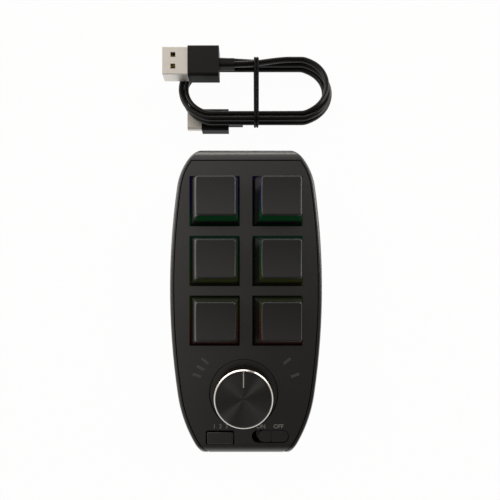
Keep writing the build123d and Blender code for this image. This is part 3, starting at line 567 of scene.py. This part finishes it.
def spot_and_facing(tree):
    """The place of a spot and the direction that its face looks in, each as x, y and z."""
    coordinates = add(tree, "TexCoord").outputs
    spot = add(tree, "SeparateXYZ", None, None, {0: coordinates["Object"]}).outputs
    facing = add(tree, "SeparateXYZ", None, None, {0: coordinates["Normal"]}).outputs
    return spot, facing


def ease(tree, value, ends):
    """A smooth step: 0 at the first end, 1 at the second, in the units of the value."""
    values = {"From Min": ends[0], "From Max": ends[1]}
    smooth = {"interpolation_type": "SMOOTHSTEP"}
    return add(tree, "MapRange", smooth, values, {"Value": value}).outputs[0]


def times(tree, first, second):
    """Product of two values."""
    return add(tree, "Math", product, None, {0: first, 1: second}).outputs[0]


def mixed(tree, share, first, second):
    """A value between two others."""
    links = {0: share, 2: first, 3: second}
    return add(tree, "Mix", {"data_type": "FLOAT"}, None, links).outputs[0]


# %% Lit keycap plastic: heights between which each light comes or goes, and slopes of the sides
glow_goes = (34.2 * mm, 33.6 * mm)
wide_glow_comes = (29.6 * mm, 31.6 * mm)
narrow_glow_comes = (31.2 * mm, 33.4 * mm)
# heights where the painted pale highlight on the outer sides of the left keys comes
painted_highlight_comes = (31.0 * mm, 34.4 * mm)
left_keys = (0.0, -2 * mm)
side_slope = (0.75, 0.55)
left_slope = (-0.4, -0.7)
left_gain = 2.0
side_roughness = 0.2


def lit_keycap_plastic(name, colour, paler, roughness):
    """The keycap's satin plastic, with glossier sides that glow faintly and a painted highlight."""
    grain = {"grain_width": 0.16, "grain_depth": 0.003}
    material = moulded_plastic(name, colour, paler, roughness, **grain, specular=0.7)
    tree = material.node_tree
    shader = tree.nodes["Principled BSDF"]
    spot, facing = spot_and_facing(tree)
    side = ease(tree, facing["Z"], side_slope)
    left = ease(tree, facing["X"], left_slope)
    outer = times(tree, left, ease(tree, spot["X"], left_keys))

    satin = shader.inputs["Roughness"].links[0].from_socket
    polish = {3: side_roughness}
    gloss = add(tree, "Mix", {"data_type": "FLOAT"}, polish, {0: side, 2: satin}).outputs[0]
    tree.links.new(gloss, shader.inputs["Roughness"])

    below_edge = ease(tree, spot["Z"], glow_goes)
    wide = times(tree, ease(tree, spot["Z"], wide_glow_comes), below_edge)
    narrow = times(tree, ease(tree, spot["Z"], narrow_glow_comes), below_edge)
    bright = add(tree, "Math", product, {1: left_gain}, {0: narrow}).outputs[0]
    coloured = times(tree, side, mixed(tree, left, wide, bright))
    # outer sides of the left keys: a painted pale highlight, standing in for light mirrored from
    # the left
    edge = times(tree, outer, ease(tree, spot["Z"], painted_highlight_comes))
    level = mixed(tree, outer, coloured, edge)
    tree.links.new(level, shader.inputs["Emission Strength"])

    # pale grey emission: the colour of that painted highlight
    pale = {7: linear("#5a5855")}
    rainbow = glow_colour(tree, spot["Y"])
    tone = add(tree, "Mix", {"data_type": "RGBA"}, pale, {0: outer, 6: rainbow}).outputs[2]
    tree.links.new(tone, shader.inputs["Emission Color"])
    return material


# %% The lit walls of the wells, and where that light ends
wall_slope = (0.5, 0.2)
below_deck = (27.95 * mm, 27.6 * mm)
above_floor = (22 * mm, 25 * mm)
behind_front = (-17.5 * mm, -16.5 * mm)
before_back = (48.5 * mm, 48 * mm)


def lit_well_plastic(name, colour, paler, roughness, specular):
    """The face plate's plastic, with a trace of light on the walls of the wells."""
    material = moulded_plastic(name, colour, paler, roughness, specular=specular)
    tree = material.node_tree
    shader = tree.nodes["Principled BSDF"]
    spot, facing = spot_and_facing(tree)
    glow = ease(tree, facing["Z"], wall_slope)
    limits = (("Z", below_deck), ("Z", above_floor), ("Y", behind_front), ("Y", before_back))
    for axis, ends in limits:
        glow = times(tree, glow, ease(tree, spot[axis], ends))
    tree.links.new(glow_colour(tree, spot["Y"]), shader.inputs["Emission Color"])
    tree.links.new(glow, shader.inputs["Emission Strength"])
    return material


# %% [markdown]
# ### Metals
#
# The knob is turned from aluminium and anodised black. Turning leaves fine rings, so light
# stretches across them into spokes: that is what anisotropy draws, with a tangent that runs round
# the knob. The ring at its edge was cut bright after anodising. The bushing and the shaft under it
# are turned as well, in brass and steel. Plug and port shells are nickel-plated steel, drawn in the
# direction of the plug.

# %% Turned metal; Blender's ring wave repeats every 0.314 m at a scale of 1
ring_wave = 0.314
ring_gloss_step = 0.05
quarter_turn = 0.25


def turned_metal(name, colour, paler, roughness, centre, ring_pitch=0.3, anisotropy=0.0):
    """Metal off the lathe: rings about the knob's axis, and light that stretches across them."""
    material, tree, shader, place = begin(name)
    shift = {"Location": (-centre[0] * mm, -centre[1] * mm, 0)}
    about = add(tree, "Mapping", None, shift, {"Vector": place}).outputs[0]
    settings = {"wave_type": "RINGS", "rings_direction": "Z"}
    turns = {"Scale": ring_wave / (ring_pitch * mm), "Distortion": 0.4, "Detail": 2.0}
    rings = add(tree, "TexWave", settings, turns, {"Vector": about}).outputs["Fac"]
    tone = between(tree, rings, colour, paler)
    gloss = ranged(tree, rings, roughness - ring_gloss_step, roughness + ring_gloss_step)
    bump = bumped(tree, rings, strength=0.3, depth=0.004)
    shader.inputs["Metallic"].default_value = 1.0
    finish_surface(tree, shader, tone, gloss, bump)
    if anisotropy:
        shader.inputs["Anisotropic"].default_value = anisotropy
        shader.inputs["Anisotropic Rotation"].default_value = quarter_turn
        tangent = add(tree, "Tangent", {"direction_type": "RADIAL", "axis": "Z"})
        tree.links.new(tangent.outputs[0], shader.inputs["Tangent"])
    return material


# %% Drawn and rolled metal
streaks_per_length = 6.0
streak_gloss_step = 0.06


def drawn_metal(name, colour, darker, roughness, streak=(40, 3, 3)):
    """Plated or rolled sheet: long faint streaks along one axis, sizes given in millimetres."""
    material, tree, shader, place = begin(name)
    scale = {"Scale": tuple(1 / (size * mm) for size in streak)}
    along = add(tree, "Mapping", None, scale, {"Vector": place}).outputs[0]
    streaks = noise(tree, along, streaks_per_length, detail=4.0)
    tone = between(tree, streaks, darker, colour)
    shiniest, dullest = roughness - streak_gloss_step, roughness + streak_gloss_step
    gloss = ranged(tree, streaks, shiniest, dullest, noise_ends)
    bump = bumped(tree, streaks, strength=0.15, depth=0.01)
    shader.inputs["Metallic"].default_value = 1.0
    finish_surface(tree, shader, tone, gloss, bump)
    return material


# %% [markdown]
# ### Soft and clear plastics, and the board
#
# The cable's sheath, the plug grips, the tie and the feet are soft: smoother than the case where
# the mould was polished, duller where it was not. Light bars are milky polycarbonate. The board is
# glass-fibre laminate under solder resist, with a weave that just shows through.

# %% Rubber, milky plastic and laminate
rubber_grain = {"grain_width": 0.5, "grain_depth": 0.001}
milky_grain = {"grain_width": 0.4, "grain_depth": 0.002}
weave_pitch = 1.2
weave_gloss_step = 0.1


def soft_rubber(name, colour, paler, roughness, specular=0.35, sheen=0.02):
    """Thermoplastic rubber: slightly cloudy, with a soft sheen."""
    material = moulded_plastic(name, colour, paler, roughness, **rubber_grain, specular=specular)
    shader = material.node_tree.nodes["Principled BSDF"]
    shader.inputs["Sheen Weight"].default_value = sheen
    shader.inputs["Sheen Roughness"].default_value = 0.5
    return material


def milky_polycarbonate(name, colour, paler, roughness, clear):
    """Light-spreading plastic: part of the light passes through it."""
    material = moulded_plastic(name, colour, paler, roughness, **milky_grain)
    shader = material.node_tree.nodes["Principled BSDF"]
    shader.inputs["Transmission Weight"].default_value = clear
    return material


def glass_laminate(name, colour, paler, roughness):
    """Circuit board: glass cloth of half-millimetre threads under green lacquer."""
    material, tree, shader, place = begin(name)
    thread = {"Scale": 1 / (weave_pitch * mm), "Randomness": 0.1}
    square = {"distance": "CHEBYCHEV"}
    weave = add(tree, "TexVoronoi", square, thread, {"Vector": place}).outputs[0]
    tone = between(tree, weave, colour, paler)
    gloss = ranged(tree, weave, roughness, roughness + weave_gloss_step)
    bump = bumped(tree, weave, strength=0.2, depth=0.01)
    finish_surface(tree, shader, tone, gloss, bump)
    return material


# %% [markdown]
# ## Dressing the solids
#
# The record of the pack names a slot for each solid, so one table of finishes per slot dresses them
# all. Three solids then get a finish of their own: the upper shell, whose thin clear lacquer
# mirrors the white floor at its rounded back; the face plate, for the light in its wells; and the
# knob's knurled skirt, whose cut diamonds glint. Numbers after the colours are the roughness, then
# what the finish asks for: streak lengths, the share of light let through, or the knob's centre.

# %% One finish for each slot
knob_centre = (-0.9, -35.3)
case_tones = ("#0f0e0d", "#141312", 0.3)
case_shine = 0.95
finishes = {
    "case_black": moulded_plastic("grained_abs_case", *case_tones, specular=case_shine),
    "keycap_black": lit_keycap_plastic("satin_abs_keycap", "#0f0f0e", "#141413", 0.36),
    "button_black": moulded_plastic("grained_abs_button", *case_tones, specular=case_shine),
    "foot_rubber": soft_rubber("silicone_foot", "#202020", "#2a2a29", 0.75),
    "dark_screw": drawn_metal("black_oxide_screw", "#3c3b3a", "#232221", 0.45, (2, 2, 2)),
    "board_laminate": glass_laminate("board_laminate", "#0f2a1c", "#1b4630", 0.35),
    "chip_resin": moulded_plastic("chip_resin", "#161616", "#242424", 0.55),
    "cell_foil": drawn_metal("battery_foil", "#a9abad", "#85878a", 0.4, (8, 8, 8)),
    "plate_steel": drawn_metal("black_plate_steel", "#1d1d1e", "#101011", 0.5, (20, 2, 2)),
    "light_package": milky_polycarbonate("light_package", "#e6e3d6", "#f3f1e8", 0.35, 0.2),
    "light_pipe": milky_polycarbonate("milky_light_bar", "#454341", "#4f4d4b", 0.42, 0.1),
    "port_steel": drawn_metal("nickel_port_shell", "#c9c7c3", "#a5a39f", 0.3, (3, 12, 3)),
    "port_tongue": moulded_plastic("port_tongue_resin", "#161616", "#262626", 0.5),
    "bushing_brass": turned_metal("brass_bushing", "#b79a5b", "#cbb274", 0.3, knob_centre),
    "shaft_metal": turned_metal("steel_shaft", "#a7a9ab", "#c2c4c6", 0.3, knob_centre),
    "switch_clear": milky_polycarbonate("clear_switch_top", "#c9cdd0", "#dfe3e6", 0.2, 0.6),
    "switch_plastic": moulded_plastic("switch_stem_nylon", "#1e1e1f", "#2b2b2c", 0.45),
    "spring_steel": drawn_metal("spring_wire", "#b9b6ae", "#8f8c86", 0.3, (1, 1, 4)),
    "knob_aluminium": turned_metal(
        "black_anodised_knob", "#444444", "#505050", 0.42, knob_centre, anisotropy=0.95
    ),
    "knob_bright": turned_metal(
        "diamond_cut_ring", "#cfcbc5", "#dcd8d2", 0.13, knob_centre, ring_pitch=0.2
    ),
    "pointer_paint": moulded_plastic("pale_pointer_paint", "#a9a8a4", "#b6b5b1", 0.5),
    "cable_sheath": soft_rubber(
        "polished_cable_sheath", "#0b0a0a", "#100f0f", 0.25, specular=0.24
    ),
    "tie_plastic": soft_rubber("rubber_tie", "#070707", "#0c0c0c", 0.45, specular=0.1, sheen=0.0),
    "plug_steel": drawn_metal("nickel_plug_shell", "#eae6e0", "#dcd8d2", 0.56, (12, 3, 3)),
    "plug_grip": soft_rubber("satin_plug_grip", "#0c0b0a", "#12110f", 0.35, specular=0.22),
}
own_finishes = {
    "upper_shell": moulded_plastic(
        "lacquered_abs_shell", *case_tones, specular=case_shine, coat=0.4
    ),
    "face_plate": lit_well_plastic("grained_abs_face_plate", *case_tones, specular=case_shine),
    "knob_skirt": turned_metal("black_anodised_skirt", "#3a3a3a", "#4a4a4a", 0.25, knob_centre),
}
gilt = drawn_metal("gilt_contact", "#d9b55c", "#c49c47", 0.28, (6, 1, 1))
print("finishes:", len(finishes) + len(own_finishes) + 1)

# %% Each piece gets its finish


def dress(piece, finish):
    """Gives a piece one finish in place of what it had."""
    piece.data.materials.clear()
    piece.data.materials.append(finish)


for subpart in subparts:
    dress(nodes[subpart["node"]], finishes[subpart["material_slot"]])
for name, finish in own_finishes.items():
    dress(nodes[name], finish)
dress(usb_cord, finishes["cable_sheath"])
dress(tie_strands, finishes["tie_plastic"])
for piece in gilt_pieces:
    dress(piece, gilt)
print("dressed", len(subparts), "solids and", len(gilt_pieces) + 2, "other pieces")

# %% [markdown]
# ## Springs
#
# Each switch has a coil spring of thin wire between its floor and the collar of its stem, and the
# key presses it nearly flat. A solid can't do that: the stem would pass through the wire. A helix
# could be drawn anew, but the CAD solid has the right coils already. So each spring is a copy of
# that solid, its loose triangles merged into one surface.

# %% Six springs, each a copy of its solid merged into one surface
spring_count = 6
merge_distance = 0.0005 * mm
for number in range(1, spring_count + 1):
    solid = nodes[f"switch_spring_{number}"]
    spring = bpy.data.objects.new(f"spring_coil_{number}", solid.data.copy())
    bpy.context.scene.collection.objects.link(spring)
    select_only(spring)
    bpy.ops.object.mode_set(mode="EDIT")
    bpy.ops.mesh.select_all(action="SELECT")
    bpy.ops.mesh.remove_doubles(threshold=merge_distance)
    bpy.ops.object.mode_set(mode="OBJECT")
    bpy.ops.object.shade_smooth_by_angle()
    low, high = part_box(solid.name)
    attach(spring, "case")
    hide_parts(solid.name)
    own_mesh(spring)

# %% [markdown]
# ## Print on the deck
#
# The two ends of the power slider are marked ON and OFF, and the layer button has the numbers of
# its layers, in small grey letters printed on the plastic. Print is a thin film, so the letters are
# flat text, made a mesh and given a thickness of a few hundredths of a millimetre.

# %% Printed letters
deck_z = 28.0
letter_height = 1.55
capital_share = 0.7
ink_thickness = 0.03
mark_y = -47.8
marks = {"print_layers": ("1  2  3", -9.75), "print_on": ("ON", 5.7), "print_off": ("OFF", 12.4)}
ink = moulded_plastic("grey_pad_print", "#8b8986", "#9a9895", 0.6)
for name, (words, mark_x) in marks.items():
    middle = (mark_x * mm, mark_y * mm, (deck_z + ink_thickness / 2) * mm)
    bpy.ops.object.text_add(location=middle)
    letters = bpy.context.object
    letters.name = name
    letters.data.body = words
    letters.data.align_x = "CENTER"
    letters.data.align_y = "CENTER"
    letters.data.size = letter_height / capital_share * mm
    letters.data.extrude = ink_thickness / 2 * mm
    bpy.ops.object.convert(target="MESH")
    letters = bpy.context.object
    bpy.ops.object.transform_apply(location=True, rotation=True, scale=True)
    dress(letters, ink)
    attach(letters, "case")
print("printed", len(marks), "marks")

# %% View settings and the end
bpy.context.scene.view_settings.view_transform = "Standard"
bpy.context.view_layer.update()
